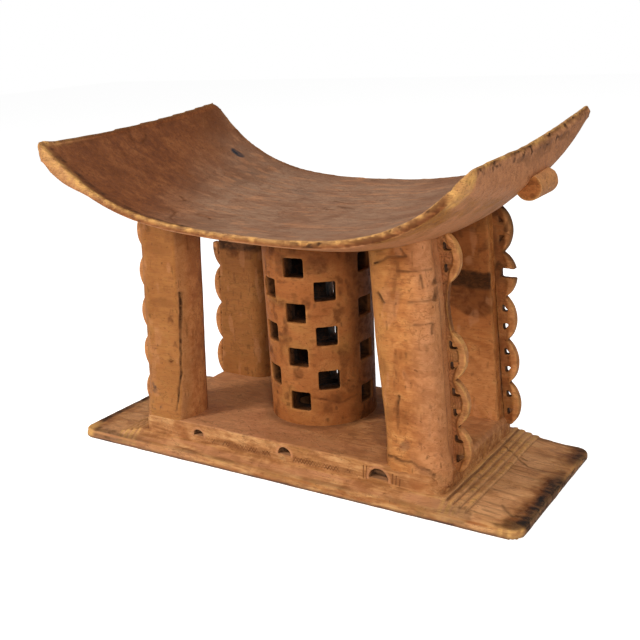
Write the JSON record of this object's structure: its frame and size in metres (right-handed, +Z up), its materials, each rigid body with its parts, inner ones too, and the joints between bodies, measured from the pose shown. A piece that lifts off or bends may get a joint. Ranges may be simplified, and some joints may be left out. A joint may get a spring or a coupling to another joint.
{
  "type": "ashanti stool",
  "caption": "Low carved wooden stool: curved, dished seat carried by leaning corner posts with scalloped fins and a pierced hollow drum on a stepped base.",
  "frame": {"origin": "on the floor, under the middle of the seat", "axes": "+X along the length of the seat to its right end, +Y from front to back, +Z up"},
  "size_m": [0.56, 0.312, 0.3758],
  "materials": {
    "wood": "aged, oiled and worn pale hardwood"
  },
  "bodies": {
    "root": {"base_board": "wood", "plinth": "wood", "drum": "wood", "post_front_left": "wood", "post_front_right": "wood", "post_back_left": "wood", "post_back_right": "wood", "fin_front_left": "wood", "fin_front_right": "wood", "fin_back_left": "wood", "fin_back_right": "wood", "seat": "wood", "lug_right": "wood", "lug_left": "wood"}
  },
  "joints": []
}
